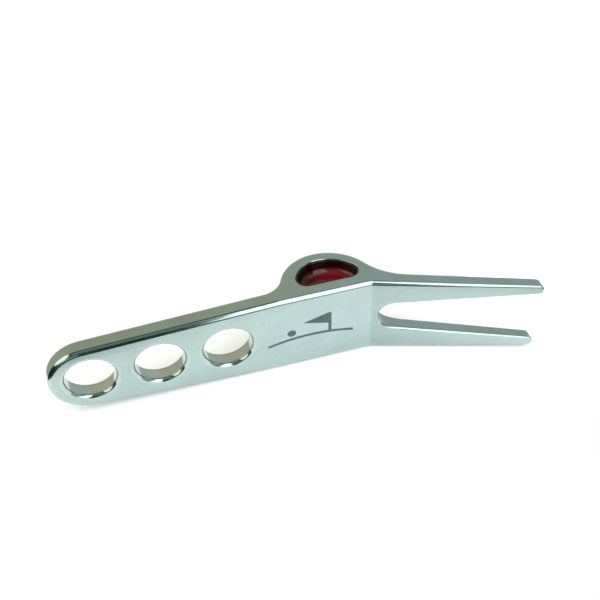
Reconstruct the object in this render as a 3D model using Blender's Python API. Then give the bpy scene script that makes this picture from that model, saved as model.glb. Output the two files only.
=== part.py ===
"""Divot repair tool, milled in one piece from an aluminium bar.

A flat handle with three round holes runs into a D-shaped pivot hump and a bent two-prong fork. Each
edge of the hump has a recess lined with enamel. Filled marks are sunk in the flat face and the crest.

The design frame has X along the tool towards the prong tips with x = 0 on the bend line, Y out of the
flat face towards the hump with y = 0 on the flat face, and Z across the width with z = 0 on the middle
plane. An empty then stands the tool on its long edge, with the origin under the middle of its box.
"""

from math import acos, asin, atan2, ceil, cos, hypot, pi, radians, sin, sqrt, tan

import bmesh
import bpy
from mathutils import Matrix, Vector
from mathutils.geometry import delaunay_2d_cdt

MM = 0.001

# Handle
HANDLE_THICKNESS = 3.5 * MM
END_RADIUS = 7.4 * MM
END_CENTRE_X = -54.2 * MM
HALF_WIDTH = 8.95 * MM
PARALLEL_START_X = -18.0 * MM
HOLE_RADIUS = 4.7 * MM
HOLE_PITCH = 12.9 * MM
NEAREST_HOLE_X = -28.1 * MM
HOLE_COUNT = 3

# Hump
CREST_X = -8.2 * MM
CREST_HEIGHT = 11.4 * MM
HANDLE_SIDE_RADIUS = 8.6 * MM
FORK_SIDE_RADIUS = 10.2 * MM
HANDLE_FILLET = 4.3 * MM
FORK_FILLET = 12.3 * MM

# Fork
BEND_ANGLE = radians(17.8)
FORK_LENGTH = 32.3 * MM
ROOT_THICKNESS = 3.2 * MM
TIP_THICKNESS = 2.25 * MM
TIP_OUTER_HALF = 8.0 * MM
TIP_INNER_HALF = 5.9 * MM
TIP_CORNER = 0.9 * MM
SLOT_START_X = 1.6 * MM
SLOT_ROOT_RADIUS = 3.3 * MM

# Enamelled recess in each edge of the hump
RECESS_LOW_Y = 2.7 * MM
RECESS_TOP_Y = 9.05 * MM
RECESS_CREST_X = -8.05 * MM
RECESS_HANDLE_RADIUS = 5.7 * MM
RECESS_FORK_RADIUS = 8.3 * MM
RECESS_HANDLE_CORNER = 2.2 * MM
RECESS_FORK_CORNER = 2.0 * MM
RECESS_DEPTH = 3.05 * MM
RECESS_ROUND = 1.85 * MM
RECESS_CHAMFER = 0.15 * MM
ENAMEL_WALL = 0.35 * MM

# Edge rounding
EDGE_FILLET = 0.85 * MM
TIP_FILLET = 0.35 * MM
SLOT_FILLET = 0.55 * MM
HOLE_FILLET = 0.8 * MM

# Filled marks
FIT_GAP = 0.05 * MM
MARK_DEPTH = 0.25 * MM
MARK_STROKE = 0.6 * MM
GROUND_ENDS_X = (-20.5 * MM, -3.5 * MM)
GROUND_Z = -2.4 * MM
GROUND_RISE = 1.1 * MM
POLE_X = -8.2 * MM
POLE_TOP_Z = 3.6 * MM
PENNANT_LENGTH = 5.0 * MM
PENNANT_HEIGHT = 2.8 * MM
BALL_X = -15.8 * MM
BALL_RADIUS = 0.85 * MM
BALL_LIFT = 0.45 * MM
BAR_WIDTH = 0.8 * MM
BARS = ((-7.0 * MM, 10.6 * MM), (-4.8 * MM, 13.6 * MM), (-2.6 * MM, 9.0 * MM))

# Facets
FILLET_STEPS = 3
FACET_ANGLE = radians(7.5)
FINE_FACET_ANGLE = radians(15.0)
CREASE_ANGLE = radians(30.0)
TIP_CORNER_STEPS = 4
GROUND_STEPS = 14
BAR_END_STEPS = 6
CUTTER_REACH = 1.0 * MM
SAME_X = 0.002 * MM
# The faces are filled from a plan in millimetres, so these two are in millimetres and square millimetres.
PLAN_TOLERANCE = 1e-5
SLIVER_AREA = 1e-4

ALUMINIUM = ((0.60, 0.66, 0.65), 0.34, 1.0)
RED_ENAMEL = ((0.34, 0.004, 0.01), 0.12, 0.3)
GREY_FILL = ((0.16, 0.21, 0.21), 0.55, 0.0)
PALE_FILL = ((0.74, 0.77, 0.74), 0.5, 0.0)


# ---------------------------------------------------------------- side profile


def fork_line(inset):
    """Height at x = 0 and slope of the fork's hump-side face, moved into the metal by inset."""
    tip_x = FORK_LENGTH * cos(BEND_ANGLE)
    root_y = ROOT_THICKNESS / cos(BEND_ANGLE)
    tip_y = TIP_THICKNESS / cos(BEND_ANGLE) - tip_x * tan(BEND_ANGLE)
    slope = (tip_y - root_y) / tip_x
    return root_y - inset * hypot(1.0, slope), slope


def hump_arcs():
    """The four arcs of the hump side, from handle to fork: centre x, centre y, radius, +1 bulging or
    -1 hollow, and the angles at which each starts and ends."""
    rise = CREST_HEIGHT - HANDLE_SIDE_RADIUS
    reach = HANDLE_SIDE_RADIUS + HANDLE_FILLET
    drop = HANDLE_THICKNESS + HANDLE_FILLET - rise
    first_x = CREST_X - sqrt(reach**2 - drop**2)
    join = atan2(drop, first_x - CREST_X)
    first = (first_x, HANDLE_THICKNESS + HANDLE_FILLET, HANDLE_FILLET, -1, -pi / 2, join - pi)
    second = (CREST_X, rise, HANDLE_SIDE_RADIUS, 1, join, pi / 2)

    start_y, slope = fork_line(-FORK_FILLET)
    centre_y = CREST_HEIGHT - FORK_SIDE_RADIUS
    reach = FORK_SIDE_RADIUS + FORK_FILLET
    a = 1 + slope**2
    b = slope * (start_y - centre_y) - CREST_X
    c = CREST_X**2 + (start_y - centre_y) ** 2 - reach**2
    last_x = (-b + sqrt(b**2 - a * c)) / a
    last_y = start_y + slope * last_x
    join = atan2(last_y - centre_y, last_x - CREST_X)
    third = (CREST_X, centre_y, FORK_SIDE_RADIUS, 1, pi / 2, join)
    fourth = (last_x, last_y, FORK_FILLET, -1, join - pi, atan2(-1.0, slope))
    return first, second, third, fourth


HUMP_ARCS = hump_arcs()


def flat_side(x, inset=0.0):
    """Height of the flat side at x, moved into the metal by inset."""
    bent = inset / cos(BEND_ANGLE) - x * tan(BEND_ANGLE)
    return inset if x < inset * tan(BEND_ANGLE / 2) else bent


def hump_side(x, inset=0.0):
    """Height of the hump side at x, moved into the metal by inset."""
    if x < HUMP_ARCS[0][0]:
        return HANDLE_THICKNESS - inset
    for centre_x, centre_y, radius, bulge, _, end in HUMP_ARCS:
        inner = radius - bulge * inset
        if x <= centre_x + inner * cos(end):
            return centre_y + bulge * sqrt(max(inner**2 - (x - centre_x) ** 2, 0.0))
    start_y, slope = fork_line(inset)
    return start_y + slope * x


def blend_end():
    """Where the hump's last hollow arc runs out into the fork."""
    centre_x, _, radius, _, _, end = HUMP_ARCS[-1]
    return centre_x + radius * cos(end)


def hump_stations():
    """The x of every facet edge across the hump side."""
    found = []
    for centre_x, _, radius, _, start, end in HUMP_ARCS:
        steps = ceil(abs(end - start) / FACET_ANGLE)
        found += [centre_x + radius * cos(start + (end - start) * i / steps) for i in range(steps + 1)]
    return found


# ---------------------------------------------------------------- plan outline


def half_width(x):
    """Half the tool's width between the round end and the tip corners."""
    if x >= 0:
        return HALF_WIDTH + (TIP_OUTER_HALF - HALF_WIDTH) * x / (FORK_LENGTH * cos(BEND_ANGLE))
    if x >= PARALLEL_START_X:
        return HALF_WIDTH
    start_x, start_z = end_tangent()
    return start_z + (HALF_WIDTH - start_z) * (x - start_x) / (PARALLEL_START_X - start_x)


def end_tilt():
    """Angle of the handle's sides to the middle line."""
    run = PARALLEL_START_X - END_CENTRE_X
    return asin(HALF_WIDTH / hypot(run, HALF_WIDTH)) - asin(END_RADIUS / hypot(run, HALF_WIDTH))


def end_tangent():
    """Where the round end meets the straight side."""
    turn = pi / 2 + end_tilt()
    return END_CENTRE_X + END_RADIUS * cos(turn), END_RADIUS * sin(turn)


def arc_points(centre, radius, start, end, steps, sense, fillet):
    """Outline points on an arc: x, z, direction into the metal, fillet. Sense +1 has the metal inside."""
    points = []
    for i in range(steps + 1):
        turn = start + (end - start) * i / steps
        points.append(
            (
                centre[0] + radius * cos(turn),
                centre[1] + radius * sin(turn),
                -sense * cos(turn),
                -sense * sin(turn),
                fillet,
            )
        )
    return points


def slot_half():
    """Slot outline at z > 0, from the inner tip corner to the middle of the root."""
    tip_x = FORK_LENGTH * cos(BEND_ANGLE)
    root_x = SLOT_START_X + SLOT_ROOT_RADIUS
    corner = (tip_x - TIP_CORNER, TIP_INNER_HALF + TIP_CORNER)
    # The straight side touches the corner circle below and the root circle above.
    span = hypot(corner[0] - root_x, corner[1])
    turn = atan2(corner[1], corner[0] - root_x) + acos((SLOT_ROOT_RADIUS + TIP_CORNER) / span)
    points = arc_points(corner, TIP_CORNER, 0.0, turn - pi, TIP_CORNER_STEPS, 1, TIP_FILLET)
    straight_start = corner[0] - TIP_CORNER * cos(turn)
    root_end = root_x + (SLOT_ROOT_RADIUS + SLOT_FILLET) * cos(turn)
    for x in sorted(hump_stations(), reverse=True):
        if root_end + SLOT_FILLET < x < straight_start:
            base_x = x - SLOT_FILLET * cos(turn)
            base_z = (SLOT_ROOT_RADIUS - (base_x - root_x) * cos(turn)) / sin(turn)
            points.append((base_x, base_z, cos(turn), sin(turn), SLOT_FILLET))
    steps = ceil((pi - turn) / FINE_FACET_ANGLE)
    points += arc_points((root_x, 0.0), SLOT_ROOT_RADIUS, turn, pi, steps, -1, SLOT_FILLET)
    return points


def outer_half(slot):
    """Outer outline at z > 0, from the middle of the round end to the outer tip corner."""
    tip_x = FORK_LENGTH * cos(BEND_ANGLE)
    turn = pi / 2 + end_tilt()
    steps = ceil((pi - turn) / FACET_ANGLE)
    points = arc_points((END_CENTRE_X, 0.0), END_RADIUS, pi, turn, steps, 1, EDGE_FILLET)
    # Past the slot's root, the facets of the hump side are carried across each prong to the slot's points.
    slot_stations = [x + into_x * fillet for x, _, into_x, _, fillet in slot if x < tip_x / 2]
    stations = [x for x in hump_stations() if x < min(slot_stations) - SLOT_FILLET]
    stations += [PARALLEL_START_X, 0.0] + slot_stations
    corner_x = tip_x - TIP_CORNER
    for x in sorted({round(station, 9) for station in stations}):
        share = max(x, 0.0) / corner_x
        points.append((x, half_width(x), 0.0, -1.0, EDGE_FILLET + (TIP_FILLET - EDGE_FILLET) * share))
    corner = (corner_x, half_width(corner_x) - TIP_CORNER)
    points += arc_points(corner, TIP_CORNER, pi / 2, 0.0, TIP_CORNER_STEPS, 1, TIP_FILLET)
    return points


def tool_outline():
    """The whole outline as one loop, round the handle, the prongs and the slot."""
    slot = slot_half()
    half = outer_half(slot) + slot
    mirrored = [(x, -z, into_x, -into_z, fillet) for x, z, into_x, into_z, fillet in half[-2:0:-1]]
    return half + mirrored


def hole_outline(index):
    """One round handle hole as a loop."""
    centre = (NEAREST_HOLE_X - index * HOLE_PITCH, 0.0)
    steps = ceil(2 * pi / FACET_ANGLE)
    return arc_points(centre, HOLE_RADIUS, 0.0, 2 * pi, steps, -1, HOLE_FILLET)[:-1]


# ---------------------------------------------------------------- plate with filleted rims


def fillet_ring(loop, side, turn):
    """Points of one ring of a rim fillet. Turn runs from 0 on the face to a right angle on the wall."""
    ring = []
    for x, z, into_x, into_z, fillet in loop:
        back = fillet * (1 - sin(turn))
        at_x = x + into_x * back
        ring.append(Vector((at_x, side(at_x, fillet * (1 - cos(turn))), z + into_z * back)))
    return ring


def inside(point, loops):
    """Whether a plan point lies in the metal, by counting crossings."""
    crossings = 0
    for loop in loops:
        for a, b in zip(loop, loop[1:] + loop[:1], strict=True):
            if (a.y > point.y) != (b.y > point.y):
                cross_x = a.x + (b.x - a.x) * (point.y - a.y) / (b.y - a.y)
                crossings += cross_x > point.x
    return crossings % 2 == 1


def add_face_between(mesh, rings, rungs):
    """Fills the face inside the first ring and outside the others, keeping rungs as edges."""
    corners = [vert for ring in rings for vert in ring]
    index = {vert: i for i, vert in enumerate(corners)}
    plans = [[Vector((vert.co.x, vert.co.z)) / MM for vert in ring] for ring in rings]
    around = [(index[a], index[b]) for ring in rings for a, b in zip(ring, ring[1:] + ring[:1], strict=True)]
    across = [(index[a], index[b]) for a, b in rungs]
    flat = [point for plan in plans for point in plan]
    points, _, faces, sources, _, _ = delaunay_2d_cdt(flat, around + across, [], 0, PLAN_TOLERANCE)
    # The metal lies to the right of every ring, so a face in the metal runs along its edges backwards.
    # Faces with no edge on a ring are told apart by their middle, and slivers between points on one
    # straight line are left out.
    outward = set(around)
    inward = {(b, a) for a, b in around}
    for face in faces:
        used = [sources[i][0] for i in face]
        sides = set(zip(used, used[1:] + used[:1], strict=True))
        a, b, c = (points[i] for i in face)
        clear = (b - a).cross(c - a) > SLIVER_AREA and inside((a + b + c) / 3, plans)
        if sides & inward or (not sides & outward and clear):
            mesh.faces.new([corners[i] for i in used])


def cross_rungs(ring):
    """Pairs of ring points that face each other across the width, with no slot between them."""
    groups = []
    for vert in sorted(ring, key=lambda vert: vert.co.x):
        if groups and vert.co.x - groups[-1][0].co.x < SAME_X:
            groups[-1].append(vert)
        else:
            groups.append([vert])
    rungs = []
    for verts in groups:
        verts.sort(key=lambda vert: vert.co.z)
        if len(verts) in (2, 3):
            rungs += zip(verts, verts[1:])
        if len(verts) == 4:
            rungs += [(verts[0], verts[1]), (verts[2], verts[3])]
    return rungs


def plate_mesh(loops):
    """The bar between its flat and hump sides, with every loop's rims rounded."""
    mesh = bmesh.new()
    turns = [pi / 2 * i / FILLET_STEPS for i in range(FILLET_STEPS + 1)]
    flat_rings, hump_rings = [], []
    for loop in loops:
        rings = [fillet_ring(loop, flat_side, turn) for turn in turns]
        rings += [fillet_ring(loop, hump_side, turn) for turn in reversed(turns)]
        rings = [[mesh.verts.new(point) for point in ring] for ring in rings]
        for lower, upper in zip(rings, rings[1:]):
            for i in range(len(loop)):
                mesh.faces.new((lower[i - 1], lower[i], upper[i], upper[i - 1]))
        flat_rings.append(rings[0])
        hump_rings.append(rings[-1])
    bend = [pair for pair in cross_rungs(flat_rings[0]) if abs(pair[0].co.x) < SAME_X]
    add_face_between(mesh, flat_rings, bend)
    start_x = HUMP_ARCS[0][0] - SAME_X
    end_x = blend_end() + SAME_X
    humped = [pair for pair in cross_rungs(hump_rings[0]) if start_x < pair[0].co.x < end_x]
    add_face_between(mesh, hump_rings, humped)
    bmesh.ops.recalc_face_normals(mesh, faces=mesh.faces)
    return mesh


# ---------------------------------------------------------------- recesses, enamel and marks


def recess_outline(grow):
    """The D of a recess, grown by grow, as x and y points."""
    handle_y = RECESS_TOP_Y - RECESS_HANDLE_RADIUS
    fork_y = RECESS_TOP_Y - RECESS_FORK_RADIUS
    handle_lift = RECESS_LOW_Y + RECESS_HANDLE_CORNER - handle_y
    handle_turn = pi - asin(handle_lift / (RECESS_HANDLE_RADIUS - RECESS_HANDLE_CORNER))
    fork_lift = RECESS_LOW_Y + RECESS_FORK_CORNER - fork_y
    fork_turn = asin(fork_lift / (RECESS_FORK_RADIUS - RECESS_FORK_CORNER))
    handle_run = (RECESS_HANDLE_RADIUS - RECESS_HANDLE_CORNER) * cos(handle_turn)
    fork_run = (RECESS_FORK_RADIUS - RECESS_FORK_CORNER) * cos(fork_turn)
    handle_corner = (RECESS_CREST_X + handle_run, RECESS_LOW_Y + RECESS_HANDLE_CORNER)
    fork_corner = (RECESS_CREST_X + fork_run, RECESS_LOW_Y + RECESS_FORK_CORNER)
    arcs = (
        ((RECESS_CREST_X, fork_y), RECESS_FORK_RADIUS, fork_turn, pi / 2, FACET_ANGLE),
        ((RECESS_CREST_X, handle_y), RECESS_HANDLE_RADIUS, pi / 2, handle_turn, FACET_ANGLE),
        (handle_corner, RECESS_HANDLE_CORNER, handle_turn, 3 * pi / 2, FINE_FACET_ANGLE),
        (fork_corner, RECESS_FORK_CORNER, -pi / 2, fork_turn, FINE_FACET_ANGLE),
    )
    # The list starts where the straight side meets the fork corner. After that each arc starts where the
    # one before it ends, so it leaves out its own first point.
    points = [Vector((fork_corner[0], RECESS_LOW_Y - grow))]
    for centre, radius, start, end, facet in (arcs[3], *arcs[:3]):
        steps = ceil((end - start) / facet)
        for i in range(1, steps + 1):
            turn = start + (end - start) * i / steps
            points.append(Vector(centre) + (radius + grow) * Vector((cos(turn), sin(turn))))
    return points


def grown(outline, grow):
    """A closed outline, counter-clockwise, with every side moved out by grow."""
    moved = []
    for i, point in enumerate(outline):
        before = (point - outline[i - 1]).normalized()
        after = (outline[(i + 1) % len(outline)] - point).normalized()
        out = Vector((before.y + after.y, -before.x - after.x)).normalized()
        reach = out.x * before.y - out.y * before.x
        moved.append(point + out * grow / reach)
    return moved


def loft(sections):
    """A closed solid through equal rings of points, capped at both ends."""
    mesh = bmesh.new()
    rings = [[mesh.verts.new(point) for point in section] for section in sections]
    for lower, upper in zip(rings, rings[1:]):
        for i in range(len(lower)):
            mesh.faces.new((lower[i - 1], lower[i], upper[i], upper[i - 1]))
    mesh.faces.new(rings[0])
    mesh.faces.new(rings[-1])
    bmesh.ops.recalc_face_normals(mesh, faces=mesh.faces)
    return mesh


def recess_foot(inset):
    """Height and growth of the recess at each step up its rounded foot, moved in by inset."""
    radius = RECESS_ROUND - inset
    centre_z = HALF_WIDTH - RECESS_DEPTH + RECESS_ROUND
    turns = [pi / 2 * i / FILLET_STEPS for i in range(FILLET_STEPS + 1)]
    return [(centre_z - radius * cos(turn), radius * sin(turn) - RECESS_ROUND) for turn in turns]


def recess_loft(levels, end):
    """A solid through the recess outline at each height and growth. End is +1 at +z and -1 at -z."""
    return loft([[Vector((p.x, p.y, end * z)) for p in recess_outline(grow)] for z, grow in levels])


def recess_cutter_mesh(end):
    """One recess with its rim chamfered, running past the edge of the tool."""
    rim = HALF_WIDTH - RECESS_CHAMFER
    levels = recess_foot(0.0) + [(rim, 0.0), (HALF_WIDTH + CUTTER_REACH, RECESS_CHAMFER + CUTTER_REACH)]
    return recess_loft(levels, end)


def enamel_mesh(end):
    """A shallow cup of enamel that follows the recess's floor and wall up to the chamfer."""
    reach = HALF_WIDTH - RECESS_CHAMFER - FIT_GAP
    inner_inset = FIT_GAP + ENAMEL_WALL
    outer = recess_foot(FIT_GAP) + [(reach, -FIT_GAP)]
    inner = recess_foot(inner_inset) + [(reach, -inner_inset)]
    return recess_loft(outer + inner[::-1], end)


def sunk_prism(outline, place, top, bottom):
    """A prism of an outline between two depths below the surface at place."""
    return loft([[place @ Vector((p.x, p.y, -depth)) for p in outline] for depth in (bottom, top)])


def ground_height(x):
    """Height of the middle of the mark's ground line."""
    start, end = GROUND_ENDS_X
    share = 2 * (x - start) / (end - start) - 1
    return GROUND_Z + GROUND_RISE * (1 - share**2)


def flag_outline():
    """A ground line, a pole and a pennant as one outline, counter-clockwise, x and z."""
    start, end = GROUND_ENDS_X
    half = MARK_STROKE / 2
    lower = [start + (end - start) * i / GROUND_STEPS for i in range(GROUND_STEPS + 1)]
    points = [Vector((x, ground_height(x) - half)) for x in lower]
    upper = [x for x in reversed(lower) if abs(x - POLE_X) > MARK_STROKE]
    points += [Vector((x, ground_height(x) + half)) for x in upper if x > POLE_X]
    points.append(Vector((POLE_X + half, ground_height(POLE_X + half) + half)))
    points.append(Vector((POLE_X + half, POLE_TOP_Z)))
    points.append(Vector((POLE_X - half, POLE_TOP_Z)))
    points.append(Vector((POLE_X - half - PENNANT_LENGTH, POLE_TOP_Z - PENNANT_HEIGHT / 2)))
    points.append(Vector((POLE_X - half, POLE_TOP_Z - PENNANT_HEIGHT)))
    points.append(Vector((POLE_X - half, ground_height(POLE_X - half) + half)))
    points += [Vector((x, ground_height(x) + half)) for x in upper if x < POLE_X]
    return points


def ball_outline():
    """The small ball that rests just above the mark's ground line."""
    centre = Vector((BALL_X, ground_height(BALL_X) + MARK_STROKE / 2 + BALL_LIFT + BALL_RADIUS))
    steps = ceil(2 * pi / FINE_FACET_ANGLE)
    turns = [2 * pi * i / steps for i in range(steps)]
    return [centre + BALL_RADIUS * Vector((cos(turn), sin(turn))) for turn in turns]


def bar_outline(length):
    """A bar with round ends, long in y."""
    half = BAR_WIDTH / 2
    points = []
    for sign, start in ((1, 0.0), (-1, pi)):
        for i in range(BAR_END_STEPS + 1):
            turn = start + pi * i / BAR_END_STEPS
            points.append(Vector((half * cos(turn), sign * (length / 2 - half) + half * sin(turn))))
    return points


def flat_face_place():
    """Maps x and z of an outline onto the flat face, with depth going into the metal."""
    return Matrix(((1, 0, 0, 0), (0, 0, -1, 0), (0, 1, 0, 0), (0, 0, 0, 1)))


def crest_place(x):
    """Maps an outline onto the hump at x, its y along the width and its depth going into the metal."""
    centre = Vector((CREST_X, CREST_HEIGHT - FORK_SIDE_RADIUS, 0.0))
    turn = acos((x - CREST_X) / FORK_SIDE_RADIUS)
    out = Vector((cos(turn), sin(turn), 0.0))
    # The bar is sunk by the sag of the crest across its own width and across one facet.
    sag = BAR_WIDTH**2 / (8 * FORK_SIDE_RADIUS) + FORK_SIDE_RADIUS * (1 - cos(FACET_ANGLE / 2))
    across = Vector((0.0, 0.0, 1.0))
    axes = Matrix((across.cross(out), across, out)).transposed().to_4x4()
    return Matrix.Translation(centre + out * (FORK_SIDE_RADIUS - sag)) @ axes


# ---------------------------------------------------------------- objects


def material(name, look):
    """A Principled material from a colour, a roughness and a metallic value."""
    colour, roughness, metallic = look
    made = bpy.data.materials.new(name)
    made.use_nodes = True
    shader = made.node_tree.nodes["Principled BSDF"]
    shader.inputs["Base Color"].default_value = (*colour, 1.0)
    shader.inputs["Roughness"].default_value = roughness
    shader.inputs["Metallic"].default_value = metallic
    return made


def add_object(name, mesh, stand, look=None):
    """Turns a bmesh into an object on the stand. Without a look it is a cutter."""
    data = bpy.data.meshes.new(name)
    mesh.to_mesh(data)
    mesh.free()
    data.shade_smooth()
    data.set_sharp_from_angle(angle=CREASE_ANGLE)
    made = bpy.data.objects.new(name, data)
    made.parent = stand
    bpy.context.scene.collection.objects.link(made)
    if look is None:
        made.hide_render = True
        made.display_type = "WIRE"
    else:
        data.materials.append(material(name, look))
    return made


def cut(body, cutter):
    """Takes the cutter's shape out of the body."""
    modifier = body.modifiers.new(cutter.name, "BOOLEAN")
    modifier.operation = "DIFFERENCE"
    modifier.solver = "EXACT"
    modifier.object = cutter


def add_mark(name, outline, place, body, stand, look):
    """Sinks a pocket with this outline in the body and fills it level with the surface."""
    pocket = sunk_prism(grown(outline, FIT_GAP), place, -CUTTER_REACH, MARK_DEPTH)
    cut(body, add_object(f"{name}_pocket", pocket, stand))
    add_object(name, sunk_prism(outline, place, 0.0, MARK_DEPTH - FIT_GAP), stand, look)


def build():
    for old in list(bpy.data.objects):
        bpy.data.objects.remove(old)

    plate = plate_mesh([tool_outline()] + [hole_outline(i) for i in range(HOLE_COUNT)])
    xs = [vert.co.x for vert in plate.verts]
    ys = [vert.co.y for vert in plate.verts]
    stand = bpy.data.objects.new("stand", None)
    stand.location = (-(min(xs) + max(xs)) / 2, -(min(ys) + max(ys)) / 2, HALF_WIDTH)
    bpy.context.scene.collection.objects.link(stand)

    body = add_object("tool_body", plate, stand, ALUMINIUM)
    for name, end in (("upper", 1), ("lower", -1)):
        cut(body, add_object(f"{name}_recess_cutter", recess_cutter_mesh(end), stand))
        add_object(f"{name}_recess_enamel", enamel_mesh(end), stand, RED_ENAMEL)

    add_mark("flag_fill", flag_outline(), flat_face_place(), body, stand, GREY_FILL)
    add_mark("ball_fill", ball_outline(), flat_face_place(), body, stand, GREY_FILL)
    for number, (x, length) in enumerate(BARS, 1):
        add_mark(f"crest_bar_{number}", bar_outline(length), crest_place(x), body, stand, PALE_FILL)


build()
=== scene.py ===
"""Looks of the divot repair tool: the milled body with fine rounded edges, its red enamel and filled marks.

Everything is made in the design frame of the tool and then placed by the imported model's box. In the design
frame X runs along the tool towards the prong tips, with x = 0 on the bend line. Y runs from the flat face
into the metal and on towards the hump, with y = 0 on the flat face. Z runs across the width, with z = 0 on
the middle plane.
"""

from math import acos, asin, atan2, ceil, cos, hypot, pi, radians, sin, sqrt, tan

import bmesh
import bpy
from mathutils import Matrix, Quaternion, Vector
from mathutils.geometry import delaunay_2d_cdt


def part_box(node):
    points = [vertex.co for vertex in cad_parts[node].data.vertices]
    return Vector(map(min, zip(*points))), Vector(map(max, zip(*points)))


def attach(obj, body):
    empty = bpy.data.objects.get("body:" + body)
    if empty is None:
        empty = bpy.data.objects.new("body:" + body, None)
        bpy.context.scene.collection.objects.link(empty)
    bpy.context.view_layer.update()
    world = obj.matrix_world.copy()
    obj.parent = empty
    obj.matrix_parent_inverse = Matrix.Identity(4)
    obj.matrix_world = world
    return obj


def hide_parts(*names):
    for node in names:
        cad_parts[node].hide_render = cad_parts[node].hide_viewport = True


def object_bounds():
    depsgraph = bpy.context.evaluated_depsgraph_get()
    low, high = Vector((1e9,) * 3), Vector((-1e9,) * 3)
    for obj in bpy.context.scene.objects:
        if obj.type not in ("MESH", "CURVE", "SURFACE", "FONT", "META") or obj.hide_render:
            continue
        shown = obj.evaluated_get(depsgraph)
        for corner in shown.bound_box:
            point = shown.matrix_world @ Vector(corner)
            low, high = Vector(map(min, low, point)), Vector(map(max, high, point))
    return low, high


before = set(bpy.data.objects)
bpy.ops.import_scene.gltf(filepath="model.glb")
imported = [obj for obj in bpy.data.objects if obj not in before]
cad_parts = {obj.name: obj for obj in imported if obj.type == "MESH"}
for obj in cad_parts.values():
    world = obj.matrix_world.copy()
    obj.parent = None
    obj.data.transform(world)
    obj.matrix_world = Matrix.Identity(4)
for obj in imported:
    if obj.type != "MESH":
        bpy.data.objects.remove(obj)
CAD_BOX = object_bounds()

MM = 0.001

# Handle
HANDLE_THICKNESS = 3.5 * MM
END_RADIUS = 7.4 * MM
END_CENTRE_X = -54.2 * MM
HALF_WIDTH = 8.95 * MM
PARALLEL_START_X = -18.0 * MM
HOLE_RADIUS = 4.7 * MM
HOLE_PITCH = 12.9 * MM
NEAREST_HOLE_X = -28.1 * MM
HOLE_COUNT = 3

# Hump
CREST_X = -8.2 * MM
CREST_HEIGHT = 11.4 * MM
HANDLE_SIDE_RADIUS = 8.6 * MM
FORK_SIDE_RADIUS = 10.2 * MM
HANDLE_FILLET = 4.3 * MM
FORK_FILLET = 12.3 * MM

# Fork
BEND_ANGLE = radians(17.8)
FORK_LENGTH = 32.3 * MM
ROOT_THICKNESS = 3.2 * MM
TIP_THICKNESS = 2.25 * MM
TIP_OUTER_HALF = 8.0 * MM
TIP_INNER_HALF = 5.9 * MM
TIP_CORNER = 0.9 * MM
SLOT_START_X = 1.6 * MM
SLOT_ROOT_RADIUS = 3.3 * MM

# Enamelled recess in each edge of the hump
RECESS_LOW_Y = 2.7 * MM
RECESS_TOP_Y = 9.05 * MM
RECESS_CREST_X = -8.05 * MM
RECESS_HANDLE_RADIUS = 5.7 * MM
RECESS_FORK_RADIUS = 8.3 * MM
RECESS_HANDLE_CORNER = 2.2 * MM
RECESS_FORK_CORNER = 2.0 * MM
RECESS_DEPTH = 3.05 * MM
RECESS_ROUND = 1.85 * MM
RECESS_RIM = 0.15 * MM
ENAMEL_WALL = 0.4 * MM
ENAMEL_LIP = 0.12 * MM
ENAMEL_REACH = HALF_WIDTH - RECESS_RIM
ENAMEL_SEAT = 0.01 * MM

# Edge rounding
EDGE_FILLET = 0.85 * MM
TIP_FILLET = 0.35 * MM
SLOT_FILLET = 0.55 * MM
HOLE_FILLET = 0.8 * MM
SUPPORT = 0.06 * MM

# Pockets of the filled marks
MARK_DEPTH = 0.25 * MM
MARK_STROKE = 0.6 * MM
GROUND_ENDS_X = (-20.5 * MM, -3.5 * MM)
GROUND_Z = -2.4 * MM
GROUND_RISE = 1.1 * MM
POLE_X = -8.2 * MM
POLE_TOP_Z = 3.6 * MM
PENNANT_LENGTH = 5.0 * MM
PENNANT_HEIGHT = 2.8 * MM
BALL_X = -15.8 * MM
BALL_RADIUS = 0.85 * MM
BALL_LIFT = 0.45 * MM
BAR_WIDTH = 0.8 * MM
BARS = ((-7.0 * MM, 10.6 * MM), (-4.8 * MM, 13.6 * MM), (-2.6 * MM, 9.0 * MM))

# Facets, fine enough to shade as true curves
FILLET_STEPS = 8
FOOT_STEPS = 12
FACET_ANGLE = radians(2.5)
FINE_FACET_ANGLE = radians(5.0)
CUTTER_REACH = 1.0 * MM
SHARP_ANGLE = radians(15.0)
SAME_X = 0.002 * MM

# Small shape details
RIM_OVERRUN = 0.97
SEAM = 0.01 * MM
GROUND_STEPS = 14
BAR_END_STEPS = 6
BALL_FACET_ANGLE = radians(15.0)
NORMAL_WEIGHT = 60

# Tolerances when the flat faces are filled. The fill is worked out in millimetres.
SLIVER = 1e-4
FILL_TOLERANCE = 1e-5
STATION_DIGITS = 9

# Noise comes out mostly within this band, which is stretched over the whole range of a look.
NOISE_BAND = (0.3, 0.7)

# Milled metal. Scales are in waves per metre, and heights in metres.
CLOUD_SCALE = 180.0
CLOUD_BAND = (0.35, 0.65)
CLOUD_DULLING = 0.94
GRAIN_SCALE = 14000.0
GRAIN_STRENGTH = 0.5
GRAIN_ROUGHNESS = (0.85, 1.15)
MARK_RELIEF = 0.000003
MARK_STRENGTH = 0.25
MARK_ROUGHNESS = (-0.08, 0.08)

# Finishes of the body: colour, roughness, height of the grain, and scale of the tool marks along X, Y and Z
SATIN_FINISH = ((0.44, 0.55, 0.55, 1.0), 0.27, 0.000004, (260, 260, 2600))
ROUNDED_FINISH = ((0.47, 0.57, 0.56, 1.0), 0.12, 0.000001, (900, 900, 900))
BORED_FINISH = ((0.58, 0.64, 0.62, 1.0), 0.16, 0.000002, (60, 9000, 60))

# The fork's flat side is painted a little darker than the handle's next to the bend, as painted shade.
FORK_PAINTED_SHADE = 0.84
CREASE_SOFTNESS = 0.4 * MM
FLAT_FACING = (-0.8, -0.6)
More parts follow.
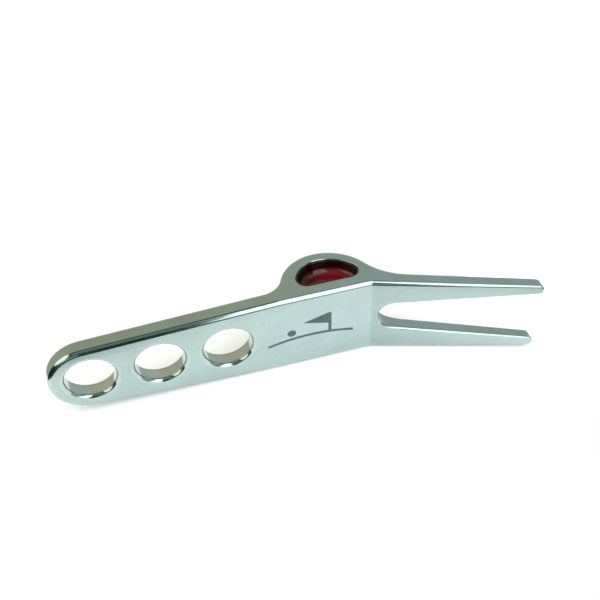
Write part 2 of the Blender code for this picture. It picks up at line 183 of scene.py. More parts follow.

# Enamel colours on the walls near the rim and on the recess floor, and the height over which one turns into
# the other. The near-black wall colour is painted shade, and the floor's red is the enamel's own. Towards the
# handle the floor's colour falls, as painted shade, to the low share between the pool's ends.
PAINTED_SHADE_WALL_RED = (0.006, 0.0001, 0.0003, 1.0)
FLOOR_RED = (0.13, 0.0004, 0.004, 1.0)
WALL_FADE = 1.3 * MM
WALL_WAVER = WALL_FADE / 4
POOL_ENDS_X = (-12.5 * MM, -3.5 * MM)
POOL_PAINTED_SHADE_SHARE = 0.12
ENAMEL_WAVE_SCALE = 350.0
ENAMEL_WAVE_STRENGTH = 0.35
ENAMEL_WAVE_RELIEF = 0.00002
ENAMEL_SPECK_SCALE = 9000.0
ENAMEL_SPECULAR = 0.1
ENAMEL_ROUGHNESS = (0.3, 0.4)
COAT_WEIGHT = 0.75
COAT_ROUGHNESS = 0.035

# Paints of the marks: colour, colour of the darker mottle, and roughness
GREY_PAINT = ((0.055, 0.115, 0.115, 1.0), (0.04, 0.085, 0.085, 1.0), 0.5)
PALE_PAINT = ((0.72, 0.74, 0.72, 1.0), (0.62, 0.64, 0.62, 1.0), 0.45)
MOTTLE_SCALE = 1200.0
MOTTLE_ROUGHNESS = 0.06
PAINT_GRAIN_SCALE = 12000.0
PAINT_GRAIN_STRENGTH = 0.4
PAINT_GRAIN_RELIEF = 0.00001

# Floor board
TOOTH_SCALE = 900.0
BOARD_SHADES = ((0.86, 0.86, 0.86, 1.0), (0.9, 0.9, 0.9, 1.0))
BOARD_ROUGHNESS = 0.9

# Studio. Each soft light has a colour, a strength, and a place on the sky as low, high and soft edge along
# X, Y and Z.
ALL = (-2.0, 2.0, 0.1)
SOFT_LIGHTS = (
    ((1.0, 0.90, 0.66), 0.52, ((-2.0, 0.2, 0.15), (0.36, 2.0, 0.2), ALL)),
    ((0.92, 1.0, 0.90), 0.52, ((0.2, 2.0, 0.15), (0.36, 2.0, 0.2), ALL)),
    ((1.0, 0.97, 0.78), 1.7, ((-2.0, -0.58, 0.05), (-2.0, 0.42, 0.06), (0.2, 2.0, 0.1))),
    ((0.97, 1.0, 1.0), 0.5, ((0.68, 2.0, 0.04), (-2.0, 0.42, 0.06), ALL)),
    ((0.90, 1.0, 1.0), 0.45, ((0.08, 0.68, 0.05), (-2.0, 0.36, 0.1), (-0.6, 0.0, 0.08))),
    ((0.90, 1.0, 1.0), 0.35, ((-0.58, -0.13, 0.04), (-2.0, 0.36, 0.1), (-0.3, 0.3, 0.08))),
    ((0.95, 1.0, 1.0), 1.15, ((0.12, 0.62, 0.05), (-0.3, 0.15, 0.06), ALL)),
    ((0.55, 1.0, 0.80), 0.26, ((-0.45, 0.05, 0.05), (-0.8, 0.0, 0.12), (0.0, 2.0, 0.1))),
    ((0.35, 1.0, 0.85), 0.035, (ALL, ALL, ALL)),
)
BACKDROP = (1.0, 1.0, 1.0, 1.0)
FILL_SPREAD = radians(110.0)
FILL_STRENGTH = 2.65
FILL_TILT = radians(14.0)

# How far the floor reaches past the tool: right, left, to the rear, and in front at its left and right ends.
# The metal mirrors the floor, so its edges shape the reflections.
FLOOR_RIGHT_MARGIN = 22 * MM
FLOOR_LEFT_MARGIN = 18 * MM
FLOOR_REAR_MARGIN = 2 * MM
FLOOR_FRONT_MARGINS = (2 * MM, 23 * MM)

# One large soft box stands in front of the fork and above it.
SOFTBOX_TARGET = Vector((40.0 * MM, 0.0, 0.0))
SOFTBOX_DISTANCE = 190.0 * MM
SOFTBOX_ELEVATION = radians(37.0)
SOFTBOX_WIDTH = 120.0 * MM
SOFTBOX_HEIGHT = 320.0 * MM
SOFTBOX_POWER = 0.27
SOFTBOX_COLOUR = (0.95, 1.0, 1.0)

# Camera in the design frame
CAMERA_TARGET = Vector((-13.99 * MM, 0.0, 8.546 * MM))
CAMERA_DISTANCE = 160.26 * MM
CAMERA_AZIMUTH = radians(-15.016)
CAMERA_ELEVATION = radians(44.748)
CAMERA_ROLL = radians(-1.746)
CAMERA_LENS = 52.29
CAMERA_CLIP = (CAMERA_DISTANCE / 100, CAMERA_DISTANCE * 10)
SENSOR_WIDTH = 36.0

# Material indices on the body
SATIN = 0
ROUNDED = 1
BORE = 2

# The design frame's origin in the row frame
BODY_LOW, BODY_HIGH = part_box("tool_body")
DESIGN_ORIGIN = Vector(
    (
        BODY_LOW.x - (END_CENTRE_X - END_RADIUS),
        BODY_HIGH.y - CREST_HEIGHT,
        BODY_LOW.z + HALF_WIDTH,
    )
)


# ---------------------------------------------------------------- side profile


def fork_line(inset):
    """Height at x = 0 and slope of the fork's hump-side face, moved into the metal by inset."""
    tip_x = FORK_LENGTH * cos(BEND_ANGLE)
    root_y = ROOT_THICKNESS / cos(BEND_ANGLE)
    tip_y = TIP_THICKNESS / cos(BEND_ANGLE) - tip_x * tan(BEND_ANGLE)
    slope = (tip_y - root_y) / tip_x
    return root_y - inset * hypot(1.0, slope), slope


def hump_arcs():
    """The four arcs of the hump side, from handle to fork. Each has its centre x and y, its radius, +1 if it
    bulges or -1 if it is hollow, and the angles at which it starts and ends."""
    rise = CREST_HEIGHT - HANDLE_SIDE_RADIUS
    reach = HANDLE_SIDE_RADIUS + HANDLE_FILLET
    drop = HANDLE_THICKNESS + HANDLE_FILLET - rise
    first_x = CREST_X - sqrt(reach**2 - drop**2)
    join = atan2(drop, first_x - CREST_X)
    first = (first_x, HANDLE_THICKNESS + HANDLE_FILLET, HANDLE_FILLET, -1, -pi / 2, join - pi)
    second = (CREST_X, rise, HANDLE_SIDE_RADIUS, 1, join, pi / 2)

    start_y, slope = fork_line(-FORK_FILLET)
    centre_y = CREST_HEIGHT - FORK_SIDE_RADIUS
    reach = FORK_SIDE_RADIUS + FORK_FILLET
    a = 1 + slope**2
    b = slope * (start_y - centre_y) - CREST_X
    c = CREST_X**2 + (start_y - centre_y) ** 2 - reach**2
    last_x = (-b + sqrt(b**2 - a * c)) / a
    last_y = start_y + slope * last_x
    join = atan2(last_y - centre_y, last_x - CREST_X)
    third = (CREST_X, centre_y, FORK_SIDE_RADIUS, 1, pi / 2, join)
    fourth = (last_x, last_y, FORK_FILLET, -1, join - pi, atan2(-1.0, slope))
    return first, second, third, fourth


HUMP_ARCS = hump_arcs()


def flat_side(x, inset=0.0):
    """Height of the flat side at x, moved into the metal by inset."""
    bent = inset / cos(BEND_ANGLE) - x * tan(BEND_ANGLE)
    return inset if x < inset * tan(BEND_ANGLE / 2) else bent


def hump_side(x, inset=0.0):
    """Height of the hump side at x, moved into the metal by inset."""
    if x < HUMP_ARCS[0][0]:
        return HANDLE_THICKNESS - inset
    for centre_x, centre_y, radius, bulge, _, end in HUMP_ARCS:
        inner = radius - bulge * inset
        if x <= centre_x + inner * cos(end):
            return centre_y + bulge * sqrt(max(inner**2 - (x - centre_x) ** 2, 0.0))
    start_y, slope = fork_line(inset)
    return start_y + slope * x


def blend_end():
    """Where the hump's last hollow arc runs out into the fork."""
    centre_x, _, radius, _, _, end = HUMP_ARCS[-1]
    return centre_x + radius * cos(end)


def hump_stations():
    """The x of every facet edge across the hump side."""
    found = []
    for centre_x, _, radius, _, start, end in HUMP_ARCS:
        steps = ceil(abs(end - start) / FACET_ANGLE)
        found += [centre_x + radius * cos(start + (end - start) * i / steps) for i in range(steps + 1)]
    return found


# ---------------------------------------------------------------- plan outline


def half_width(x):
    """Half the tool's width between the round end and the tip corners."""
    if x >= 0:
        return HALF_WIDTH + (TIP_OUTER_HALF - HALF_WIDTH) * x / (FORK_LENGTH * cos(BEND_ANGLE))
    if x >= PARALLEL_START_X:
        return HALF_WIDTH
    start_x, start_z = end_tangent()
    return start_z + (HALF_WIDTH - start_z) * (x - start_x) / (PARALLEL_START_X - start_x)


def end_tilt():
    """Angle of the handle's sides to the middle line."""
    run = PARALLEL_START_X - END_CENTRE_X
    return asin(HALF_WIDTH / hypot(run, HALF_WIDTH)) - asin(END_RADIUS / hypot(run, HALF_WIDTH))


def end_tangent():
    """Where the round end meets the straight side."""
    turn = pi / 2 + end_tilt()
    return END_CENTRE_X + END_RADIUS * cos(turn), END_RADIUS * sin(turn)


def arc_points(centre, radius, start, end, steps, sense, fillet):
    """Outline points on an arc: x, z, direction into the metal, fillet. Sense is +1 with the metal inside."""
    points = []
    for i in range(steps + 1):
        turn = start + (end - start) * i / steps
        points.append(
            (
                centre[0] + radius * cos(turn),
                centre[1] + radius * sin(turn),
                -sense * cos(turn),
                -sense * sin(turn),
                fillet,
            )
        )
    return points


def slot_half():
    """Slot outline at z > 0, from the inner tip corner to the middle of the root."""
    tip_x = FORK_LENGTH * cos(BEND_ANGLE)
    root_x = SLOT_START_X + SLOT_ROOT_RADIUS
    corner = (tip_x - TIP_CORNER, TIP_INNER_HALF + TIP_CORNER)
    # The straight side touches the corner circle below and the root circle above.
    span = hypot(corner[0] - root_x, corner[1])
    turn = atan2(corner[1], corner[0] - root_x) + acos((SLOT_ROOT_RADIUS + TIP_CORNER) / span)
    points = arc_points(corner, TIP_CORNER, 0.0, turn - pi, FILLET_STEPS, 1, TIP_FILLET)
    straight_start = corner[0] - TIP_CORNER * cos(turn)
    root_end = root_x + (SLOT_ROOT_RADIUS + SLOT_FILLET) * cos(turn)
    for x in sorted(hump_stations(), reverse=True):
        if root_end + SLOT_FILLET < x < straight_start:
            base_x = x - SLOT_FILLET * cos(turn)
            base_z = (SLOT_ROOT_RADIUS - (base_x - root_x) * cos(turn)) / sin(turn)
            points.append((base_x, base_z, cos(turn), sin(turn), SLOT_FILLET))
    steps = ceil((pi - turn) / FINE_FACET_ANGLE)
    points += arc_points((root_x, 0.0), SLOT_ROOT_RADIUS, turn, pi, steps, -1, SLOT_FILLET)
    return points


def outer_half(slot):
    """Outer outline at z > 0, from the middle of the round end to the outer tip corner."""
    tip_x = FORK_LENGTH * cos(BEND_ANGLE)
    turn = pi / 2 + end_tilt()
    steps = ceil((pi - turn) / FACET_ANGLE)
    points = arc_points((END_CENTRE_X, 0.0), END_RADIUS, pi, turn, steps, 1, EDGE_FILLET)
    # Past the slot's root, the hump side's facets are carried across each prong to the slot's own points.
    slot_stations = [x + into_x * (fillet + SUPPORT) for x, _, into_x, _, fillet in slot if x < tip_x / 2]
    stations = [x for x in hump_stations() if x < min(slot_stations) - SLOT_FILLET]
    stations += [PARALLEL_START_X, 0.0] + slot_stations
    corner_x = tip_x - TIP_CORNER
    for x in sorted({round(station, STATION_DIGITS) for station in stations}):
        share = max(x, 0.0) / corner_x
        points.append((x, half_width(x), 0.0, -1.0, EDGE_FILLET + (TIP_FILLET - EDGE_FILLET) * share))
    corner = (corner_x, half_width(corner_x) - TIP_CORNER)
    points += arc_points(corner, TIP_CORNER, pi / 2, 0.0, FILLET_STEPS, 1, TIP_FILLET)
    return points


def tool_outline():
    """The whole outline as one loop, round the handle, the prongs and the slot."""
    slot = slot_half()
    half = outer_half(slot) + slot
    mirrored = [(x, -z, into_x, -into_z, fillet) for x, z, into_x, into_z, fillet in half[-2:0:-1]]
    return half + mirrored


def hole_outline(index):
    """One round handle hole as a loop."""
    centre = (NEAREST_HOLE_X - index * HOLE_PITCH, 0.0)
    steps = ceil(2 * pi / FACET_ANGLE)
    return arc_points(centre, HOLE_RADIUS, 0.0, 2 * pi, steps, -1, HOLE_FILLET)[:-1]


# ---------------------------------------------------------------- plate with filleted rims


def fillet_ring(loop, side, turn, back_more=0.0, inset_more=0.0):
    """Points of one ring of a rim fillet. Turn runs from 0 on the face to a right angle on the wall."""
    ring = []
    for x, z, into_x, into_z, fillet in loop:
        back = fillet * (1 - sin(turn)) + back_more
        at_x = x + into_x * back
        height = side(at_x, fillet * (1 - cos(turn)) + inset_more)
        ring.append(Vector((at_x, height, z + into_z * back)))
    return ring


def inside(point, loops):
    """Whether a plan point lies in the metal, by counting crossings."""
    crossings = 0
    for loop in loops:
        for a, b in zip(loop, loop[1:] + loop[:1], strict=True):
            if (a.y > point.y) != (b.y > point.y):
                cross_x = a.x + (b.x - a.x) * (point.y - a.y) / (b.y - a.y)
                crossings += cross_x > point.x
    return crossings % 2 == 1


def add_face_between(mesh, rings, rungs):
    """Fills the face inside the first ring and outside the others, keeping rungs as edges."""
    corners = [vert for ring in rings for vert in ring]
    index = {vert: i for i, vert in enumerate(corners)}
    plans = [[Vector((vert.co.x, vert.co.z)) / MM for vert in ring] for ring in rings]
    around = [(index[a], index[b]) for ring in rings for a, b in zip(ring, ring[1:] + ring[:1], strict=True)]
    flat = [point for plan in plans for point in plan]
    cross = [(index[a], index[b]) for a, b in rungs]
    points, _, faces, sources, _, _ = delaunay_2d_cdt(flat, around + cross, [], 0, FILL_TOLERANCE)
    # The metal lies to the right of every ring, so a face in the metal runs along its edges backwards. Faces
    # with no edge on a ring are told apart by their middle. Slivers between points on one straight line are
    # left out.
    outward = set(around)
    inward = {(b, a) for a, b in around}
    for face in faces:
        used = [sources[i][0] for i in face]
        sides = set(zip(used, used[1:] + used[:1], strict=True))
        a, b, c = (points[i] for i in face)
        clear = (b - a).cross(c - a) > SLIVER and inside((a + b + c) / 3, plans)
        if sides & inward or (not sides & outward and clear):
            mesh.faces.new([corners[i] for i in used])


def cross_rungs(ring):
    """Pairs of ring points that face each other across the width, with no slot between them."""
    groups = []
    for vert in sorted(ring, key=lambda vert: vert.co.x):
        if groups and vert.co.x - groups[-1][0].co.x < SAME_X:
            groups[-1].append(vert)
        else:
            groups.append([vert])
    rungs = []
    for verts in groups:
        verts.sort(key=lambda vert: vert.co.z)
        if len(verts) in (2, 3):
            rungs += zip(verts, verts[1:])
        if len(verts) == 4:
            rungs += [(verts[0], verts[1]), (verts[2], verts[3])]
    return rungs


def side_rings(loop, side):
    """Rings from just inside a face, over its rim fillet, to just below it on the wall."""
    turns = [pi / 2 * i / FILLET_STEPS for i in range(FILLET_STEPS + 1)]
    rings = [fillet_ring(loop, side, 0.0, back_more=SUPPORT)]
    rings += [fillet_ring(loop, side, turn) for turn in turns]
    rings.append(fillet_ring(loop, side, pi / 2, inset_more=SUPPORT))
    return rings


def plate_mesh(loops, wall_looks):
    """The bar between its flat and hump sides, with every loop's rims rounded."""
    mesh = bmesh.new()
    flat_rings, hump_rings = [], []
    for loop, wall_look in zip(loops, wall_looks, strict=True):
        rings = side_rings(loop, flat_side) + side_rings(loop, hump_side)[::-1]
        # Each wall has three strips: a narrow one next to each fillet, and the wide one between them.
        looks = [SATIN] + [ROUNDED] * FILLET_STEPS + [wall_look] * 3 + [ROUNDED] * FILLET_STEPS + [SATIN]
        rings = [[mesh.verts.new(point) for point in ring] for ring in rings]
        for lower, upper, look in zip(rings[:-1], rings[1:], looks, strict=True):
            for i in range(len(loop)):
                mesh.faces.new((lower[i - 1], lower[i], upper[i], upper[i - 1])).material_index = look
        flat_rings.append(rings[0])
        hump_rings.append(rings[-1])
    bend = [pair for pair in cross_rungs(flat_rings[0]) if abs(pair[0].co.x) < SAME_X]
    add_face_between(mesh, flat_rings, bend)
    start_x = HUMP_ARCS[0][0] - SAME_X
    end_x = blend_end() + SAME_X
    humped = [pair for pair in cross_rungs(hump_rings[0]) if start_x < pair[0].co.x < end_x]
    add_face_between(mesh, hump_rings, humped)
    bmesh.ops.recalc_face_normals(mesh, faces=mesh.faces)
    return mesh


# ---------------------------------------------------------------- recesses, enamel and marks


def recess_outline(grow):
    """The D of a recess, grown by grow, as x and y points."""
    handle_y = RECESS_TOP_Y - RECESS_HANDLE_RADIUS
    fork_y = RECESS_TOP_Y - RECESS_FORK_RADIUS
    handle_lift = RECESS_LOW_Y + RECESS_HANDLE_CORNER - handle_y
    handle_turn = pi - asin(handle_lift / (RECESS_HANDLE_RADIUS - RECESS_HANDLE_CORNER))
    fork_lift = RECESS_LOW_Y + RECESS_FORK_CORNER - fork_y
    fork_turn = asin(fork_lift / (RECESS_FORK_RADIUS - RECESS_FORK_CORNER))
    handle_run = (RECESS_HANDLE_RADIUS - RECESS_HANDLE_CORNER) * cos(handle_turn)
    fork_run = (RECESS_FORK_RADIUS - RECESS_FORK_CORNER) * cos(fork_turn)
    handle_corner = (RECESS_CREST_X + handle_run, RECESS_LOW_Y + RECESS_HANDLE_CORNER)
    fork_corner = (RECESS_CREST_X + fork_run, RECESS_LOW_Y + RECESS_FORK_CORNER)
    arcs = (
        ((RECESS_CREST_X, fork_y), RECESS_FORK_RADIUS, fork_turn, pi / 2, FACET_ANGLE),
        ((RECESS_CREST_X, handle_y), RECESS_HANDLE_RADIUS, pi / 2, handle_turn, FACET_ANGLE),
        (handle_corner, RECESS_HANDLE_CORNER, handle_turn, 3 * pi / 2, FINE_FACET_ANGLE),
        (fork_corner, RECESS_FORK_CORNER, -pi / 2, fork_turn, FINE_FACET_ANGLE),
    )
    # The list starts where the straight side meets the fork corner. After that each arc starts where the
    # one before it ends, so it leaves out its own first point.
    points = [Vector((fork_corner[0], RECESS_LOW_Y - grow))]
    for centre, radius, start, end, facet in (arcs[3], *arcs[:3]):
        steps = ceil((end - start) / facet)
        for i in range(1, steps + 1):
            turn = start + (end - start) * i / steps
            points.append(Vector(centre) + (radius + grow) * Vector((cos(turn), sin(turn))))
    return points


def grown(outline, grow):
    """A closed outline, counter-clockwise, with every side moved out by grow."""
    moved = []
    for i, point in enumerate(outline):
        before = (point - outline[i - 1]).normalized()
        after = (outline[(i + 1) % len(outline)] - point).normalized()
        out = Vector((before.y + after.y, -before.x - after.x)).normalized()
        reach = out.x * before.y - out.y * before.x
        moved.append(point + out * grow / reach)
    return moved


def loft(sections, looks=None):
    """A closed solid through equal rings of points, capped at both ends."""
    mesh = bmesh.new()
    rings = [[mesh.verts.new(point) for point in section] for section in sections]
    for number, (lower, upper) in enumerate(zip(rings, rings[1:])):
        for i in range(len(lower)):
            face = mesh.faces.new((lower[i - 1], lower[i], upper[i], upper[i - 1]))
            face.material_index = looks[number] if looks else SATIN
    mesh.faces.new(rings[0])
    mesh.faces.new(rings[-1])
    bmesh.ops.recalc_face_normals(mesh, faces=mesh.faces)
    return mesh


def recess_foot(inset):
    """Height and growth of the recess at each step up its rounded foot, moved in by inset."""
    radius = RECESS_ROUND - inset
    centre_z = HALF_WIDTH - RECESS_DEPTH + RECESS_ROUND
    turns = [pi / 2 * i / FOOT_STEPS for i in range(FOOT_STEPS + 1)]
    return [(centre_z - radius * cos(turn), radius * sin(turn) - RECESS_ROUND) for turn in turns]


def recess_loft(levels, end, looks=None):
    """A solid through the recess outline at each height and growth. End is +1 at +z and -1 at -z."""
    return loft([[Vector((p.x, p.y, end * z)) for p in recess_outline(grow)] for z, grow in levels], looks)


def recess_cutter_mesh(end):
    """One recess with its rim rounded, running past the edge of the tool."""
    centre_z = HALF_WIDTH - RECESS_RIM * RIM_OVERRUN
    levels = recess_foot(0.0)
    for i in range(FILLET_STEPS + 1):
        turn = pi / 2 * i / FILLET_STEPS
        levels.append((centre_z + RECESS_RIM * sin(turn), RECESS_RIM * (1 - cos(turn))))
    levels.append((HALF_WIDTH + CUTTER_REACH, RECESS_RIM))
    return recess_loft(levels, end, [BORE] * (FOOT_STEPS + 1) + [ROUNDED] * (FILLET_STEPS + 1))


def enamel_mesh(end):
    """The enamel coat on a recess's floor and wall, with a full soft lip round its top."""
    lip = []
    for i in range(FILLET_STEPS + 1):
        turn = pi * i / FILLET_STEPS
        grow = ENAMEL_SEAT - (ENAMEL_SEAT + ENAMEL_WALL) * (1 - cos(turn)) / 2
        lip.append((ENAMEL_REACH - ENAMEL_LIP * (1 - sin(turn)), grow))
    return recess_loft(recess_foot(-ENAMEL_SEAT) + lip + recess_foot(ENAMEL_WALL)[::-1], end)


def sunk_prism(outline, place, top, bottom):
    """A prism of an outline between two depths below the surface at place."""
    return loft([[place @ Vector((p.x, p.y, -depth)) for p in outline] for depth in (bottom, top)])


def ground_height(x):
    """Height of the middle of the mark's ground line."""
    start, end = GROUND_ENDS_X
    share = 2 * (x - start) / (end - start) - 1
    return GROUND_Z + GROUND_RISE * (1 - share**2)


def flag_outline():
    """A ground line, a pole and a pennant as one outline, counter-clockwise, x and z."""
    start, end = GROUND_ENDS_X
    half = MARK_STROKE / 2
    lower = [start + (end - start) * i / GROUND_STEPS for i in range(GROUND_STEPS + 1)]
    points = [Vector((x, ground_height(x) - half)) for x in lower]
    upper = [x for x in reversed(lower) if abs(x - POLE_X) > MARK_STROKE]
    points += [Vector((x, ground_height(x) + half)) for x in upper if x > POLE_X]
    points.append(Vector((POLE_X + half, ground_height(POLE_X + half) + half)))
    points.append(Vector((POLE_X + half, POLE_TOP_Z)))
    points.append(Vector((POLE_X - half, POLE_TOP_Z)))
    points.append(Vector((POLE_X - half - PENNANT_LENGTH, POLE_TOP_Z - PENNANT_HEIGHT / 2)))
    points.append(Vector((POLE_X - half, POLE_TOP_Z - PENNANT_HEIGHT)))
    points.append(Vector((POLE_X - half, ground_height(POLE_X - half) + half)))
    points += [Vector((x, ground_height(x) + half)) for x in upper if x < POLE_X]
    return points


def ball_outline():
    """The small ball that rests just above the mark's ground line."""
    centre = Vector((BALL_X, ground_height(BALL_X) + MARK_STROKE / 2 + BALL_LIFT + BALL_RADIUS))
    steps = ceil(2 * pi / BALL_FACET_ANGLE)
    turns = [2 * pi * i / steps for i in range(steps)]
    return [centre + BALL_RADIUS * Vector((cos(turn), sin(turn))) for turn in turns]


def bar_outline(length):
    """A bar with round ends, long in y."""
    half = BAR_WIDTH / 2
    points = []
    for sign, start in ((1, 0.0), (-1, pi)):
        for i in range(BAR_END_STEPS + 1):
            turn = start + pi * i / BAR_END_STEPS
            points.append(Vector((half * cos(turn), sign * (length / 2 - half) + half * sin(turn))))
    return points


def flat_face_place():
    """Maps x and z of an outline onto the flat face, with depth going into the metal."""
    return Matrix(((1, 0, 0, 0), (0, 0, -1, 0), (0, 1, 0, 0), (0, 0, 0, 1)))


def crest_place(x):
    """Maps an outline onto the hump at x, its y along the width and its depth going into the metal."""
    centre = Vector((CREST_X, CREST_HEIGHT - FORK_SIDE_RADIUS, 0.0))
    turn = acos((x - CREST_X) / FORK_SIDE_RADIUS)
    out = Vector((cos(turn), sin(turn), 0.0))
    across = Vector((0.0, 0.0, 1.0))
    axes = Matrix((across.cross(out), across, out)).transposed().to_4x4()
    return Matrix.Translation(centre + out * FORK_SIDE_RADIUS) @ axes


# ---------------------------------------------------------------- the body as one finished mesh


def add_object(name, mesh):
    """Turns a bmesh in the design frame into an object in the row frame."""
    data = bpy.data.meshes.new(name)
    mesh.to_mesh(data)
    mesh.free()
    data.transform(Matrix.Translation(DESIGN_ORIGIN))
    made = bpy.data.objects.new(name, data)
    bpy.context.scene.collection.objects.link(made)
    return made


def cut_away(body, cutters):
    """Takes the cutters out of the body, for good, and removes them."""
    for cutter in cutters:
        modifier = body.modifiers.new(cutter.name, "BOOLEAN")
        modifier.operation = "DIFFERENCE"
        modifier.solver = "EXACT"
        modifier.object = cutter
    keep_result(body)
    for cutter in cutters:
        bpy.data.objects.remove(cutter)


def keep_result(piece):
    """Replaces a piece's mesh by what its modifiers make of it."""
    bpy.context.view_layer.update()
    graph = bpy.context.evaluated_depsgraph_get()
    finished = bpy.data.meshes.new_from_object(piece.evaluated_get(graph))
    piece.modifiers.clear()
    piece.data = finished


def smooth(piece):
    """Curved shading that leaves the large faces flat and the machined edges crisp."""
    piece.data.shade_smooth()
    piece.data.set_sharp_from_angle(angle=SHARP_ANGLE)
    modifier = piece.modifiers.new("weighted_normals", "WEIGHTED_NORMAL")
    modifier.mode = "FACE_AREA"
    modifier.weight = NORMAL_WEIGHT
    modifier.keep_sharp = True
    keep_result(piece)


def milled_body(looks):
    """The billet body with its recesses and the pockets of its marks, in three looks."""
    loops = [tool_outline()] + [hole_outline(i) for i in range(HOLE_COUNT)]
    body = add_object("milled_body", plate_mesh(loops, [SATIN] + [BORE] * HOLE_COUNT))
    cutters = [add_object(f"recess_cutter_{end}", recess_cutter_mesh(end)) for end in (1, -1)]
    flat = flat_face_place()
    for name, outline, place in (
        ("flag_pocket", flag_outline(), flat),
        ("ball_pocket", ball_outline(), flat),
        *((f"bar_pocket_{i}", bar_outline(length), crest_place(x)) for i, (x, length) in enumerate(BARS, 1)),
    ):
        cutters.append(add_object(name, sunk_prism(grown(outline, SEAM), place, -CUTTER_REACH, MARK_DEPTH)))
    for piece in (body, *cutters):
        for look in looks:
            piece.data.materials.append(look)
    cut_away(body, cutters)
    # The finer tips would reach a hair past the CAD box, so they end on it.
    for vert in body.data.vertices:
        vert.co.y = max(vert.co.y, BODY_LOW.y)
    smooth(body)
    return body


# ---------------------------------------------------------------- materials


class Nodes:
    """A short way to lay shader nodes: each call makes a node and links or sets its inputs."""

    def __init__(self, tree):
        self.tree = tree
        self.tree.nodes.clear()

    def node(self, kind, inputs=None, **settings):
        made = self.tree.nodes.new(kind)
        for key, value in settings.items():
            setattr(made, key, value)
        for key, value in (inputs or {}).items():
            if isinstance(value, bpy.types.NodeSocket):
                self.tree.links.new(value, made.inputs[key])
            else:
                made.inputs[key].default_value = value
        return made

    def math(self, operation, *values):
        return self.node("ShaderNodeMath", dict(enumerate(values)), operation=operation).outputs[0]

    def spread(self, value, low, high, to_low, to_high, blend="SMOOTHSTEP"):
        inputs = {0: value, 1: low, 2: high, 3: to_low, 4: to_high}
        return self.node("ShaderNodeMapRange", inputs, interpolation_type=blend).outputs[0]

    def noise(self, place, scale, detail, roughness=0.5):
        inputs = {"Vector": place, "Scale": scale, "Detail": detail, "Roughness": roughness}
        return self.node("ShaderNodeTexNoise", inputs).outputs["Fac"]

    def mix(self, share, low, high, blend="MIX"):
        made = self.node("ShaderNodeMix", data_type="RGBA", blend_type=blend)
        for key, value in ((0, share), (6, low), (7, high)):
            if isinstance(value, bpy.types.NodeSocket):
                self.tree.links.new(value, made.inputs[key])
            else:
                made.inputs[key].default_value = value
        return made.outputs[2]

    def bump(self, height, strength, distance, onto=None):
        inputs = {"Height": height, "Strength": strength, "Distance": distance}
        if onto is not None:
            inputs["Normal"] = onto
        return self.node("ShaderNodeBump", inputs).outputs["Normal"]

    def part(self, vector, axis):
        return self.node("ShaderNodeSeparateXYZ", {"Vector": vector}).outputs[axis]

    def stretched(self, place, scale):
        return self.node("ShaderNodeMapping", {"Vector": place, "Scale": scale}).outputs["Vector"]

    def finish(self, shader, out="ShaderNodeOutputMaterial"):
        self.node(out, {"Surface": shader})


def material(name):
    """A new material and its node builder."""
    made = bpy.data.materials.new(name)
    made.use_nodes = True
    return made, Nodes(made.node_tree)


def fork_painted_shade_share(n, place):
    """Share of painted shade: 1 on the fork's flat side next to the bend, fading to 0 towards the tips, and 0
    everywhere else.
    """
    along = n.math("SUBTRACT", n.part(place, 0), DESIGN_ORIGIN.x)
    facing = n.node("ShaderNodeNewGeometry").outputs["Normal"]
    flat = n.spread(n.part(facing, 1), *FLAT_FACING, 1.0, 0.0)
    past_bend = n.math("MULTIPLY", n.spread(along, 0.0, CREASE_SOFTNESS, 0.0, 1.0), flat)
    return n.math("MULTIPLY", past_bend, n.spread(along, 0.0, FORK_LENGTH, 1.0, 0.0, "LINEAR"))


def dulled(colour, share):
    """A colour brought down to a share of its brightness."""
    return tuple(c * share for c in colour[:3]) + (1.0,)


def aluminium(name, colour, roughness, grain, lay):
    """Milled aluminium. Grain is the height of the fine blasted texture, and lay the scale of tool marks."""
    made, n = material(name)
    place = n.node("ShaderNodeTexCoord").outputs["Object"]
    cloud = n.noise(place, CLOUD_SCALE, 3.0)
    fine = n.noise(place, GRAIN_SCALE, 2.0, 0.6)
    marks = n.noise(n.stretched(place, lay), 1.0, 2.0)
    base = n.mix(n.spread(cloud, *CLOUD_BAND, 0.0, 1.0), colour, dulled(colour, CLOUD_DULLING))
    # Painted shade: the fork's flat side is darkened next to the bend.
    base = n.mix(fork_painted_shade_share(n, place), base, dulled(colour, FORK_PAINTED_SHADE))
    grain_share = n.spread(fine, *NOISE_BAND, *GRAIN_ROUGHNESS)
    mark_share = n.spread(marks, *NOISE_BAND, *MARK_ROUGHNESS)
    rough = n.math("MULTIPLY", n.math("ADD", grain_share, mark_share), roughness)
    normal = n.bump(marks, MARK_STRENGTH, MARK_RELIEF)
    normal = n.bump(fine, GRAIN_STRENGTH, grain, normal)
    shader = n.node(
        "ShaderNodeBsdfPrincipled",
        {"Base Color": base, "Metallic": 1.0, "Roughness": rough, "Normal": normal},
    )
    n.finish(shader.outputs[0])
    return made


